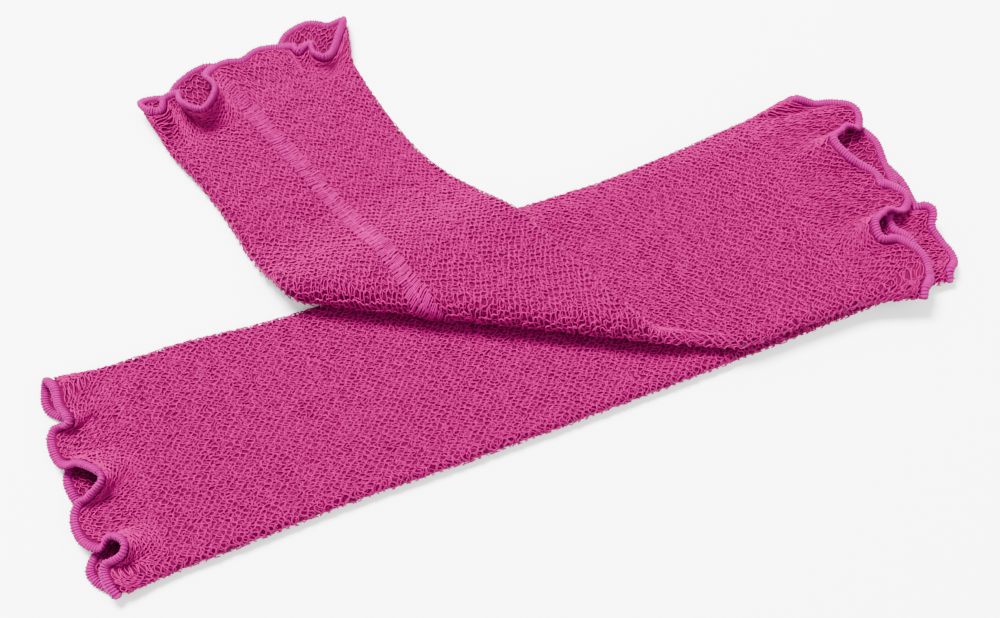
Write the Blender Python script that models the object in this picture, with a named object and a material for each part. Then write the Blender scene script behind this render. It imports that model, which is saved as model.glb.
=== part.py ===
"""A pair of knitted wrist warmers with ruffled ends, laid flat.

The straight warmer lies on the floor. The folded warmer lies on it: its right arm follows the
straight one, turns over along an oblique fold and comes back over itself to the upper left.
Lengths below are millimetres and angles degrees. +Z is up, +X is right and +Y is away from the
viewer. The finished model is in metres, centred over its own base.
"""

import bpy
import numpy as np

# Cloth
WALL = 1.6  # thickness of the knit
EDGE_WALL = 1.2  # the same at a ruffle's edge, where the knit is stretched
GAP = 1.8  # air between the two layers of a flat tube
HALF = (GAP + WALL) / 2  # from a flat tube's middle plane to the middle of its wall
TUBE = GAP + 2 * WALL  # thickness of a flat tube
CLEAR = 0.3  # between pieces that touch

# Rolled hem round each ruffled edge
HEM_WIDTH = 3.4
HEM_THICK = 2.2

# Seam band down the folded warmer
SEAM_WIDTH = 6.3
SEAM_THICK = 0.9
SEAM_ACROSS = 5.5  # from the middle of its layer, towards the far side
SEAM_FROM_TURN = 0.3  # the share of the fold's turn at which the band comes out from under it

# Ruffles: the last stretch of each tube, from the flat body out to the hem's middle line
RUFFLE = 20.0
ROOT_REACH = 7.0  # how far the ruffle leaves the body still flat
CURL_REACH = 4.0  # length over which the edge turns to its own lean
CURL_RISE = 8.0  # rise at which an edge leans by CURL_LEAN
CURL_LEAN = 125.0
CURL_LEAST = -0.4  # most that an edge dips inwards, as a share of CURL_LEAN
SIDE_BLEND = 0.12  # share of a layer over which the lean fades to none at its side
HEM_INSET = HEM_WIDTH / 2 + CLEAR  # the wall stops this far before the hem's middle line
CUT = 1 - HEM_INSET / (3 * CURL_REACH)  # the same, as a share of the ruffle's curve

# Fold of the second warmer
FOLD_START = (-71.0, -3.2)  # where the fold's outer edge meets the left side
FOLD_ANGLE = -7.3
FOLD_RADIUS = 3.5  # of the tube's middle plane
FOLD_SETTLE = (0.2, 20.0)  # how much the upper arm sinks past the fold, and over what length

# Heights at which the arms lie
STEP_UP = TUBE + 0.6  # from one tube's middle plane to that of a tube lying on it
DROOP_ON_FIRST = (-1.5, 19.0)  # the right arm comes down past the straight warmer's far edge
DROOP_UPPER = (-1.5, 22.0)  # and so does the upper arm, more slowly
DROOP_ON_SECOND = (-1.5, 27.0)  # the upper arm also comes down past the right arm's far edge

# Sections of each flat tube. Columns: x and y of the middle, width to the far side, to the near
STRAIGHT_SECTIONS = (
    (-116.0, -60.4, 39.0, 37.6),
    (-94.0, -51.3, 38.2, 37.4),
    (-66.0, -39.8, 35.0, 36.8),
    (-28.0, -24.1, 33.8, 37.8),
    (20.0, -4.2, 34.6, 38.4),
    (70.0, 16.4, 35.8, 38.2),
    (116.0, 35.4, 37.0, 37.4),
)
RIGHT_ARM_SECTIONS = (
    (106.7, 36.0, 44.0, 42.0),
    (86.0, 27.0, 41.8, 41.0),
    (63.0, 17.1, 39.8, 39.2),
    (51.5, 12.2, 39.4, 33.2),
    (43.0, 8.8, 39.6, 30.2),
    (27.0, 2.4, 40.2, 31.6),
    (9.0, -4.6, 40.0, 35.2),
    (-9.5, -12.0, 39.2, 39.0),
)
UPPER_ARM_SECTIONS = (
    (-41.6, 20.4, 37.6, 41.2),
    (-57.0, 37.5, 36.0, 38.6),
    (-73.6, 61.0, 34.8, 37.4),
    (-88.6, 84.4, 38.4, 38.4),
)
# How the folded warmer's seam wanders. Columns: u along it, slip of the skin round the tube
SKIN_SLIP = (
    (90.0, 0.0),
    (120.0, 3.0),
    (145.0, 3.0),
    (165.0, -1.2),
    (190.0, -4.5),
    (210.0, -3.4),
    (235.0, -1.3),
    (255.0, 0.0),
)

# Ends. Columns: x and y of the middle of the hem's base line, direction in which the tube points
LEFT_END = (-134.5, -68.0, 202.4)
RIGHT_END_LOWER = (134.5, 43.0, 22.4)
RIGHT_END_UPPER = (125.0, 44.0, 23.5)
UPPER_END = (-100.5, 100.5, 126.5)

# Hem waves, a row for each turn of the hem's middle line round the mouth: the layer on top from
# the far side to the near one, then the layer beneath, coming back. The first row of each table
# is the turn at that side. Columns: across from the middle of the end, out along the tube, and
# height from the floor
LEFT_TOP = (
    (40.7, 1.6, 5.0),
    (36.2, -0.4, 7.2),
    (29.2, -0.9, 8.2),
    (21.3, -3.4, 9.4),
    (21.2, 1.6, 6.0),
    (19.8, 5.4, 4.3),
    (10.5, 4.6, 4.8),
    (6.0, -3.0, 8.6),
    (-3.3, -9.4, 11.8),
    (-6.3, -3.4, 8.6),
    (-7.3, 1.6, 5.6),
    (-10.2, 4.6, 4.2),
    (-17.6, 4.0, 4.3),
    (-22.2, -1.0, 5.4),
    (-22.0, -6.7, 8.8),
    (-27.0, -10.5, 11.4),
    (-29.5, -9.1, 10.6),
    (-31.2, -1.0, 6.4),
    (-35.2, -1.0, 6.2),
)
LEFT_UNDER = (
    (-39.2, -2.4, 3.8),
    (-35.8, -1.0, 1.3),
    (-28.1, 4.5, 1.2),
    (-21.3, -0.9, 1.3),
    (-12.9, -0.4, 1.3),
    (-3.6, 2.7, 1.3),
    (4.8, 4.3, 1.3),
    (12.2, 0.4, 1.3),
    (21.2, 1.7, 1.3),
    (26.5, -0.8, 1.3),
    (33.5, 4.7, 1.3),
    (38.9, 4.0, 1.8),
)
RIGHT_LOWER_TOP = (
    (36.4, 4.0, 2.9),
    (33.4, 4.2, 4.5),
    (25.0, 11.0, 4.2),
    (14.0, 14.5, 4.2),
    (3.1, 16.9, 4.2),
    (-5.6, 15.4, 5.0),
    (-11.6, 13.0, 8.6),
    (-14.0, 16.4, 10.0),
    (-18.3, 14.6, 7.4),
    (-24.3, 16.0, 4.6),
    (-32.5, 16.3, 4.3),
    (-36.0, 11.6, 5.2),
)
RIGHT_LOWER_UNDER = (
    (-39.4, 10.6, 3.1),
    (-35.2, 10.4, 1.1),
    (-28.7, 10.2, 1.2),
    (-21.1, 11.7, 1.2),
    (-12.1, 10.5, 1.2),
    (-2.9, 13.7, 1.2),
    (5.0, 13.4, 1.2),
    (13.2, 15.0, 1.2),
    (24.0, 11.0, 1.2),
    (33.6, 4.4, 1.1),
)
RIGHT_UPPER_TOP = (
    (45.0, 3.0, 8.8),
    (42.0, 4.0, 11.4),
    (37.5, 11.0, 9.8),
    (35.0, 19.5, 10.0),
    (31.0, 24.5, 10.3),
    (23.5, 20.5, 10.8),
    (22.6, 12.0, 13.4),
    (18.9, 4.1, 15.4),
    (10.0, 6.1, 14.4),
    (5.4, 11.0, 11.4),
    (1.5, 14.6, 10.4),
    (-4.0, 13.4, 11.4),
    (-7.2, 18.0, 9.8),
    (-10.6, 20.6, 9.2),
    (-13.8, 17.6, 9.6),
    (-14.8, 12.4, 10.8),
    (-15.0, 5.6, 13.4),
    (-18.5, -1.8, 15.0),
    (-24.8, -2.2, 13.8),
    (-28.0, 6.1, 11.6),
    (-34.7, 10.9, 9.8),
    (-42.2, 8.2, 9.6),
    (-46.4, 3.0, 11.0),
)
RIGHT_UPPER_UNDER = (
    (-48.6, 1.8, 9.0),
    (-45.2, 1.8, 6.8),
    (-36.0, 5.6, 7.4),
    (-27.6, 11.5, 8.4),
    (-21.4, 7.7, 9.2),
    (-14.2, 9.9, 7.6),
    (-8.8, 18.6, 6.8),
    (-0.4, 21.5, 6.8),
    (7.8, 23.2, 6.8),
    (16.6, 25.1, 7.4),
    (25.2, 21.8, 7.4),
    (32.7, 15.7, 6.6),
    (37.0, 10.9, 6.4),
    (41.4, 5.0, 6.4),
)
UPPER_TOP = (
    (47.7, 0.7, 4.4),
    (43.3, -5.3, 6.8),
    (36.8, -11.9, 8.4),
    (30.0, -15.8, 10.2),
    (27.6, -11.7, 9.8),
    (29.2, -3.5, 7.6),
    (23.8, -5.0, 8.0),
    (23.1, 2.0, 5.6),
    (19.7, 5.8, 4.4),
    (12.8, 9.4, 4.6),
    (4.6, 7.4, 5.6),
    (-0.4, 9.3, 6.6),
    (-5.0, 10.9, 6.0),
    (-10.8, 5.7, 9.0),
    (-12.4, -7.0, 13.0),
    (-21.3, -13.4, 14.6),
    (-25.7, -5.6, 13.0),
    (-24.3, 5.2, 8.0),
    (-28.4, 6.4, 8.0),
    (-32.6, 0.2, 10.0),
    (-37.0, 1.7, 9.4),
)
UPPER_UNDER = (
    (-36.9, 10.9, 5.6),
    (-32.4, 14.5, 2.4),
    (-25.8, 11.9, 1.4),
    (-19.0, 16.2, 1.4),
    (-7.5, 17.7, 1.4),
    (-3.4, 12.3, 1.3),
    (4.6, 8.9, 1.3),
    (14.3, 6.9, 1.3),
    (22.6, 8.4, 1.3),
    (28.9, 12.6, 1.6),
    (37.3, 12.4, 1.6),
    (42.9, 6.4, 1.4),
    (48.2, 5.6, 1.6),
)
EDGE_BLEND = 0.65  # how far the columns spread along the hem rather than straight out

# Mesh density
TURN_STEPS = 4  # columns round each side turn of a tube
LAYER_STEPS = 10  # columns across each layer
HEM_STEP = 3.6  # spacing of the columns along a hem
RUFFLE_RINGS = (0.2, 0.42, 0.65, CUT)
STRAIGHT_RINGS = 9
RIGHT_ARM_RINGS = 10
FOLD_RINGS = 8
UPPER_ARM_RINGS = 11
HEM_SIDES = 6

# Materials: colour in sRGB, roughness
KNIT_COLOUR = (0.87, 0.16, 0.53)
HEM_COLOUR = (0.85, 0.20, 0.62)
SEAM_COLOUR = (0.90, 0.22, 0.58)
KNIT_ROUGHNESS = 0.85


def clear_scene():
    for obj in list(bpy.data.objects):
        bpy.data.objects.remove(obj)


def unit(v):
    return v / np.linalg.norm(v, axis=-1, keepdims=True)


def heading(degrees):
    angle = np.radians(degrees)
    return np.array([np.cos(angle), np.sin(angle)])


def eased(x, start, stop):
    """0 before start, 1 after stop, and a smooth rise between them."""
    t = np.clip((x - start) / (stop - start), 0, 1)
    return t * t * (3 - 2 * t)


def smooth_through(knots, values, x):
    """A smooth curve through values at knots, carried on straight past both ends."""
    knots, values = np.asarray(knots, float), np.asarray(values, float)
    x = np.asarray(x, float)
    slopes = np.gradient(values, knots, axis=0)
    inside = np.clip(x, knots[0], knots[-1])
    i = np.clip(np.searchsorted(knots, inside, side="right") - 1, 0, len(knots) - 2)
    span = (knots[i + 1] - knots[i])[..., None]
    t = (inside - knots[i])[..., None] / span
    found = (
        values[i] * (1 + 2 * t) * (1 - t) ** 2
        + values[i + 1] * t * t * (3 - 2 * t)
        + slopes[i] * span * t * (1 - t) ** 2
        - slopes[i + 1] * span * t * t * (1 - t)
    )
    past = (x - inside)[..., None]
    return found + past * np.where(past < 0, slopes[0], slopes[-1])


class Strip:
    """The middle line of a flat tube in its own plane, with its width on either side."""

    def __init__(self, sections):
        self.rows = np.array(sections)
        steps = np.linalg.norm(np.diff(self.rows[:, :2], axis=0), axis=1)
        self.knots = np.concatenate([[0], np.cumsum(steps)])
        self.length = self.knots[-1]

    def at(self, u):
        rows = smooth_through(self.knots, self.rows, u)
        ahead = smooth_through(self.knots, self.rows, u + 0.5)
        along = unit(ahead[..., :2] - rows[..., :2])
        return rows, along


def section(p, width):
    """Across and height on a flat tube's section. p runs 0 to 4 round it: the far side's turn,
    the upper layer, the near side's turn and the lower layer."""
    flat = width - HALF
    zone = np.floor(p % 4).astype(int)
    t = p % 1
    turn = np.radians(180 * t - 90)
    across = np.choose(
        zone,
        [
            flat + HALF * np.cos(turn),
            flat * (1 - 2 * t),
            -flat - HALF * np.cos(turn),
            flat * (2 * t - 1),
        ],
    )
    height = np.choose(zone, [HALF * np.sin(turn), HALF, -HALF * np.sin(turn), -HALF])
    return across, height


def round_share(p, flat):
    """Length round a tube's section up to p, where its flat layers reach flat to each side."""
    turn, layer = np.pi * HALF, 2 * flat
    lap, p = np.floor(p / 4), p % 4
    lengths = np.cumsum([0, turn, layer, turn, layer])
    return np.interp(p, np.arange(5), lengths) + lap * lengths[-1]


def p_at(length, flat):
    """The p at which round_share is this length."""
    turn, layer = np.pi * HALF, 2 * flat
    lengths = np.cumsum([0, turn, layer, turn, layer])
    lap, rest = np.floor(length / lengths[-1]), length % lengths[-1]
    return np.interp(rest, lengths, np.arange(5)) + 4 * lap


class Hem:
    """The wavy middle line of the hem round one mouth, as a closed curve of p."""

    def __init__(self, end, top, under, half_width, flipped=False):
        self.origin = np.array([end[0], end[1]])
        self.out = heading(end[2])
        across = np.array([-self.out[1], self.out[0]])
        self.across = across if across[1] > 0 else -across
        rows = np.array(top + under)
        self.points = self.placed(rows[:, 0], rows[:, 1], rows[:, 2])
        flat = half_width - HALF
        n = len(top)
        side = 2.5 if flipped else 0.5
        steps = np.array([self.arc_length(i) for i in range(len(rows))])
        # Length round the body at each row, spread evenly along the hem between its side turns
        halves = (steps[:n], steps[n:])
        shares = [(np.cumsum(half) - half) / half.sum() for half in halves]
        even = np.concatenate([shares[0], 1 + shares[1]]) * round_share(2.0, flat)
        even += round_share(side, flat)
        # The same where the hem would run straight out of the body
        straight = np.concatenate(
            [
                side + 0.5 + (flat - rows[:n, 0]) / (2 * flat),
                side + 2.5 + (flat + rows[n:, 0]) / (2 * flat),
            ]
        )
        straight = round_share(straight, flat)
        straight[[0, n]] = even[[0, n]]
        self.at = p_at(straight + EDGE_BLEND * (even - straight), flat)
        counts = np.maximum(np.round(steps / HEM_STEP).astype(int), 2)
        knots = np.append(self.at, self.at[0] + 4)
        self.columns = np.concatenate(
            [np.linspace(knots[i], knots[i + 1], counts[i], endpoint=False) for i in range(len(rows))]
        )

    def placed(self, across, out, height):
        plan = self.origin + across[..., None] * self.across + out[..., None] * self.out
        return np.concatenate([plan, height[..., None]], axis=-1)

    def arc_length(self, i):
        """Length of the hem from row i to the next."""
        points = self.along_row(np.full(9, i), np.linspace(0, 1, 9))
        return np.linalg.norm(np.diff(points, axis=0), axis=1).sum()

    def point(self, p):
        p = (p - self.at[0]) % 4 + self.at[0]
        knots = np.append(self.at, self.at[0] + 4)
        i = np.clip(np.searchsorted(knots, p, side="right") - 1, 0, len(self.at) - 1)
        return self.along_row(i, (p - knots[i]) / (knots[i + 1] - knots[i]))

    def along_row(self, i, share):
        """The point this share of the way from row i to the next, on a Catmull-Rom curve."""
        count = len(self.points)
        before, first, second, after = (self.points[(i + k) % count] for k in (-1, 0, 1, 2))
        a, b, c = (
            np.linalg.norm(end - start, axis=-1, keepdims=True) ** 0.5
            for start, end in ((before, first), (first, second), (second, after))
        )
        leave = second - first + b * ((first - before) / a - (second - before) / (a + b))
        arrive = second - first + b * ((after - second) / c - (after - first) / (b + c))
        t = share[..., None]
        return (
            first * (1 + 2 * t) * (1 - t) ** 2
            + second * t * t * (3 - 2 * t)
            + leave * t * (1 - t) ** 2
            - arrive * t * t * (1 - t)
        )


class Warmer:
    """The middle of one warmer's wall, as a function of p round it and u along it. The body
    runs from u = 0 to its length, and a ruffle of RUFFLE more lies past each end."""

    def __init__(self, strip, lay, first_hem, last_hem):
        self.strip, self.lay = strip, lay
        self.hems = (first_hem, last_hem)

    def body(self, p, u):
        rows, along = self.strip.at(u)
        width = (rows[..., 2] + rows[..., 3]) / 2
        across, height = section(p, width)
        slip = self.slip(u) * (1 - (across / width) ** 2)
        across = across + (rows[..., 2] - rows[..., 3]) / 2 + slip
        side = np.stack([-along[..., 1], along[..., 0]], axis=-1) * self.far_side
        return self.lay(rows[..., :2] + across[..., None] * side, height)

    @staticmethod
    def slip(u):
        return np.zeros_like(u)

    def ruffle(self, p, share, last):
        """share runs from 0 at the body to 1 at the hem's middle line."""
        hem = self.hems[last]
        u = np.full_like(p, self.strip.length if last else 0.0)
        root = self.body(p, u)
        outward = self.outward(p, u)
        edge = hem.point(p)
        rise = ((edge - root) * outward).sum(-1)
        from_side = np.where(p % 2 < 1, 0, 0.5 - np.abs(p % 1 - 0.5))
        free = eased(from_side, 0, SIDE_BLEND)
        lean = np.radians(CURL_LEAN * np.clip(rise / CURL_RISE, CURL_LEAST, 1) * free)[..., None]
        out = np.append(hem.out, 0.0)
        way = out * np.cos(lean) + outward * np.sin(lean)
        near = np.minimum(np.linalg.norm(edge - root, axis=-1, keepdims=True) / RUFFLE, 1)
        first, second = root + out * ROOT_REACH * near, edge - way * CURL_REACH
        t = share[..., None]
        return (
            root * (1 - t) ** 3
            + first * 3 * t * (1 - t) ** 2
            + second * 3 * t * t * (1 - t)
            + edge * t**3
        )

    def outward(self, p, u):
        """The way out of the tube, square to the body's wall."""
        step = 1e-3
        round_it = self.body(p + step, u) - self.body(p - step, u)
        along_it = self.body(p, u + step) - self.body(p, u - step)
        return unit(np.cross(round_it, along_it)) * self.outside

    def wall(self, p, u):
        p, u = np.broadcast_arrays(np.asarray(p, float), np.asarray(u, float))
        length = self.strip.length
        found = self.body(p, np.clip(u, 0, length))
        for last, past in ((0, -u), (1, u - length)):
            here = past > 0
            if here.any():
                found[here] = self.ruffle(p[here], past[here] / RUFFLE, last)
        return found

    def half_wall(self, u):
        past = np.maximum(-u, u - self.strip.length)
        return (WALL + (EDGE_WALL - WALL) * np.clip(past / RUFFLE, 0, 1))[:, None] / 2

    def normal(self, p, u):
        p, u = np.broadcast_arrays(np.asarray(p, float), np.asarray(u, float))
        dp, du = 4e-3, 0.15
        round_it = self.wall(p + dp, u) - self.wall(p - dp, u)
        along_it = self.wall(p, u + du) - self.wall(p, u - du)
        return unit(np.cross(round_it, along_it)) * self.outside


class StraightWarmer(Warmer):
    far_side = 1
    outside = 1

    def __init__(self):
        strip = Strip(STRAIGHT_SECTIONS)
        first = Hem(LEFT_END, LEFT_TOP, LEFT_UNDER, 39.0)
        last = Hem(RIGHT_END_LOWER, RIGHT_LOWER_TOP, RIGHT_LOWER_UNDER, 38.0)
        super().__init__(strip, self.on_floor, first, last)

    @staticmethod
    def on_floor(plan, height):
        return np.concatenate([plan, (TUBE / 2 + height)[..., None]], axis=-1)


class FoldedWarmer(Warmer):
    far_side = -1
    outside = -1

    def __init__(self):
        self.fold_way = heading(FOLD_ANGLE)
        self.fold_square = np.array([-self.fold_way[1], self.fold_way[0]])
        self.roll = FOLD_RADIUS + TUBE / 2  # from the fold's outer edge to its axis
        upper = [self.unfolded(row) for row in UPPER_ARM_SECTIONS]
        strip = Strip(RIGHT_ARM_SECTIONS + tuple(upper))
        first = Hem(RIGHT_END_UPPER, RIGHT_UPPER_TOP, RIGHT_UPPER_UNDER, 42.0)
        last = Hem(UPPER_END, UPPER_TOP, UPPER_UNDER, 39.0, flipped=True)
        super().__init__(strip, self.folded, first, last)

    @staticmethod
    def slip(u):
        table = np.array(SKIN_SLIP)
        return smooth_through(table[:, 0], table[:, 1:], np.clip(u, table[0, 0], table[-1, 0]))[..., 0]

    def from_fold(self, plan):
        """Place along the fold, and distance from its outer edge."""
        offset = plan - np.array(FOLD_START)
        return offset @ self.fold_way, offset @ self.fold_square

    def unfolded(self, row):
        """A section of the upper arm, turned back into the right arm's plane."""
        along, away = self.from_fold(np.array(row[:2]))
        flat = 2 * self.roll - np.pi * FOLD_RADIUS - away
        plan = np.array(FOLD_START) + along * self.fold_way + flat * self.fold_square
        return (plan[0], plan[1], row[2], row[3])

    def folded(self, plan, height):
        along, away = self.from_fold(plan)
        turn = np.clip((self.roll - away) / FOLD_RADIUS, 0, np.pi)
        past = np.maximum(self.roll - away - np.pi * FOLD_RADIUS, 0)
        lying = np.maximum(away - self.roll, 0) + past
        square = self.roll - FOLD_RADIUS * np.sin(turn) + lying
        where = (
            np.array(FOLD_START)
            + along[..., None] * self.fold_way
            + square[..., None] * self.fold_square
        )
        lower = self.right_arm_height(where)
        upper = self.upper_arm_height(where, past)
        share = (1 - np.cos(turn)) / 2
        middle = lower + share * (upper - lower)
        plan = where + (height * np.sin(turn))[..., None] * self.fold_square
        return np.concatenate([plan, (middle + height * np.cos(turn))[..., None]], axis=-1)

    @staticmethod
    def past_edge(plan, sections, side):
        """How far plan lies past the straight line through the far edge of these sections."""
        first, last = np.array(sections[0]), np.array(sections[-1])
        along = unit(last[:2] - first[:2])
        square = np.array([-along[1], along[0]]) * side
        share = (plan - first[:2]) @ along / np.linalg.norm(last[:2] - first[:2])
        return (plan - first[:2]) @ square - (first[2] + share * (last[2] - first[2]))

    def right_arm_height(self, plan):
        past_first = self.past_edge(plan, STRAIGHT_SECTIONS[3:6], 1)
        return TUBE / 2 + STEP_UP * (1 - eased(past_first, *DROOP_ON_FIRST))

    def upper_arm_height(self, plan, past_fold):
        past_first = self.past_edge(plan, STRAIGHT_SECTIONS[3:6], 1)
        past_second = self.past_edge(plan, RIGHT_ARM_SECTIONS, -1)
        settled = FOLD_SETTLE[0] * eased(past_fold, 0, FOLD_SETTLE[1])
        on_first = STEP_UP * (1 - eased(past_first, *DROOP_UPPER))
        on_second = (2 * FOLD_RADIUS - settled) * (1 - eased(past_second, *DROOP_ON_SECOND))
        return TUBE / 2 + on_first + on_second

    def fold_lines(self, p, turns):
        """u of each column where the cloth has turned by each of these angles."""
        low, high = np.zeros((len(turns), len(p))), np.full((len(turns), len(p)), self.strip.length)
        target = self.roll - FOLD_RADIUS * np.asarray(turns)[:, None]
        p = np.broadcast_to(p, low.shape)
        for _ in range(40):
            middle = (low + high) / 2
            rows, along = self.strip.at(middle)
            width = (rows[..., 2] + rows[..., 3]) / 2
            across, _ = section(p, width)
            across = across + (rows[..., 2] - rows[..., 3]) / 2
            across = across + self.slip(middle) * (1 - (across / width) ** 2)
            side = np.stack([along[..., 1], -along[..., 0]], axis=-1)
            _, away = self.from_fold(rows[..., :2] + across[..., None] * side)
            low, high = np.where(away > target, middle, low), np.where(away > target, high, middle)
        return (low + high) / 2


def columns(steps_round_turn, steps_across):
    """p of the columns round a tube."""
    turn = np.arange(steps_round_turn) / steps_round_turn
    layer = np.arange(steps_across) / steps_across
    return np.concatenate([turn, 1 + layer, 2 + turn, 3 + layer])


def seam_columns(warmer):
    """p of the seam band's two edges and middle, on the layer that the fold turns up."""
    flat = warmer.strip.rows[-1, 2] - HALF
    middle = 3.5 + SEAM_ACROSS / (2 * flat)
    return middle + np.array([-1, 0, 1]) * SEAM_WIDTH / (4 * flat)


def with_seam(p, seam_p):
    """The columns p, but for those by the seam band, and the band's own."""
    spare = (seam_p[2] - seam_p[0]) / 3
    clear = ((p % 4) < seam_p[0] - spare) | ((p % 4) > seam_p[2] + spare)
    joined = np.concatenate([p[clear], seam_p + 4 * np.round((p.mean() - seam_p[1]) / 4)])
    order = np.argsort((joined - p[0]) % 4)
    return p[0] + (joined[order] - p[0]) % 4


def rings(warmer, body_rings):
    """(p, u) of every ring from hem to hem."""
    start, end = (hem_line.columns for hem_line in warmer.hems)
    length = warmer.strip.length
    first = [(start, np.full_like(start, -RUFFLE * share)) for share in RUFFLE_RINGS[::-1]]
    last = [(end, np.full_like(end, length + RUFFLE * share)) for share in RUFFLE_RINGS]
    return first + body_rings + last


def straight_rings(warmer, p):
    return [(p, np.full_like(p, u)) for u in np.linspace(0, warmer.strip.length, STRAIGHT_RINGS)]


def folded_rings(warmer, p):
    """Rings of the right arm, then along the fold, then of the upper arm."""
    roll = warmer.fold_lines(p, np.linspace(0, np.pi, FOLD_RINGS + 1))
    right = [roll[0] * share for share in np.linspace(0, 1, RIGHT_ARM_RINGS, endpoint=False)]
    length = warmer.strip.length
    upper = [
        roll[-1] + (length - roll[-1]) * share
        for share in np.linspace(0, 1, UPPER_ARM_RINGS + 1)[1:]
    ]
    return [(p, u) for u in right + list(roll) + upper]


def bridge(first, first_p, second, second_p):
    """Triangles between two closed loops of vertex numbers, matched by their p."""
    faces, i, j = [], 0, 0
    n, m = len(first), len(second)
    # Start the second loop at its column nearest to the first loop's start
    away = (second_p - first_p[0] + 2) % 4 - 2
    start = np.argmin(np.abs(away))
    second, away = np.roll(second, -start), np.roll(away, -start)
    second_p = first_p[0] + away[0] + (away - away[0]) % 4
    first_p, second_p = np.append(first_p, first_p[0] + 4), np.append(second_p, second_p[0] + 4)
    while i < n or j < m:
        if j == m or (i < n and first_p[i + 1] <= second_p[j + 1]):
            faces.append((first[i], first[(i + 1) % n], second[j % m]))
            i += 1
        else:
            faces.append((first[i % n], second[(j + 1) % m], second[j]))
            j += 1
    return faces


def closed_from_loops(loops):
    """One closed surface through a circle of loops, each (points, p)."""
    starts = np.concatenate([[0], np.cumsum([len(points) for points, _ in loops])])
    numbers = [np.arange(starts[k], starts[k + 1]) for k in range(len(loops))]
    faces = []
    for k, (_, p) in enumerate(loops):
        following = (k + 1) % len(loops)
        faces += bridge(numbers[k], p, numbers[following], loops[following][1])
    return np.concatenate([points for points, _ in loops]), faces


def add_object(name, points, faces, material, shift):
    """A smooth mesh object, in metres, with its faces pointing out."""
    corners = points[np.array(faces)]
    volume = np.einsum("ij,ij->i", corners[:, 0], np.cross(corners[:, 1], corners[:, 2])).sum()
    if volume < 0:
        faces = [face[::-1] for face in faces]
    mesh = bpy.data.meshes.new(name)
    mesh.from_pydata(((points + shift) / 1000).tolist(), [], [tuple(map(int, f)) for f in faces])
    mesh.shade_smooth()
    mesh.materials.append(material)
    obj = bpy.data.objects.new(name, mesh)
    bpy.context.scene.collection.objects.link(obj)
    return obj


def cloth(name, colour):
    material = bpy.data.materials.new(name)
    material.use_nodes = True
    shader = material.node_tree.nodes["Principled BSDF"]
    linear = [c / 12.92 if c <= 0.04045 else ((c + 0.055) / 1.055) ** 2.4 for c in colour]
    shader.inputs["Base Color"].default_value = (*linear, 1)
    shader.inputs["Roughness"].default_value = KNIT_ROUGHNESS
    shader.inputs["Metallic"].default_value = 0
    return material


def tube(warmer, ring_list):
    """The knitted wall: its outer rings one way and its inner rings back."""
    outer, inner = [], []
    for p, u in ring_list:
        middle, way = warmer.wall(p, u), warmer.normal(p, u) * warmer.half_wall(u)
        outer.append((middle + way, p))
        inner.append((middle - way, p))
    return closed_from_loops(outer + inner[::-1])


def hem(warmer, last):
    """The rolled hem: an oval section carried along the tube's end, clear of it."""
    p = warmer.hems[last].columns
    past = RUFFLE * CUT
    u = warmer.strip.length + past if last else -past
    end = warmer.wall(p, u)
    square = warmer.normal(p, u)
    along = warmer.wall(p + 4e-3, u) - warmer.wall(p - 4e-3, u)
    way = unit(np.cross(square, along)) * (warmer.outside if last else -warmer.outside)
    middle = end + way * HEM_INSET
    loops = []
    for angle in np.arange(HEM_SIDES) * 2 * np.pi / HEM_SIDES:
        out = way * np.cos(angle) * HEM_WIDTH / 2 + square * np.sin(angle) * HEM_THICK / 2
        loops.append((middle + out, p))
    return closed_from_loops(loops)


def seam(warmer, ring_list):
    """The flat band down the layer that the fold turns up: that layer's own points, moved out."""
    seam_p = seam_columns(warmer)
    loops = []
    for p, u in ring_list:
        near = np.array([np.argmin(np.abs((p - column + 2) % 4 - 2)) for column in seam_p])
        wall, way = warmer.wall(p[near], u[near]), warmer.normal(p[near], u[near])
        under = wall + way * (warmer.half_wall(u[near]) + CLEAR)
        loops.append(np.concatenate([under, (under + way * SEAM_THICK)[::-1]]))
    n = len(loops[0])
    last = n * (len(loops) - 1)
    faces = [tuple(range(n)), tuple(range(last, last + n))[::-1]]
    for start in range(0, last, n):
        for c in range(n):
            a, b = start + c, start + (c + 1) % n
            if c < n // 2:
                faces += [(b, a, a + n), (b, a + n, b + n)]
            else:
                faces += [(a, a + n, b + n), (a, b + n, b)]
    return np.concatenate(loops), triangulated(faces)


def triangulated(faces):
    found = []
    for face in faces:
        found += [(face[0], face[k], face[k + 1]) for k in range(1, len(face) - 1)]
    return found


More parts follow.
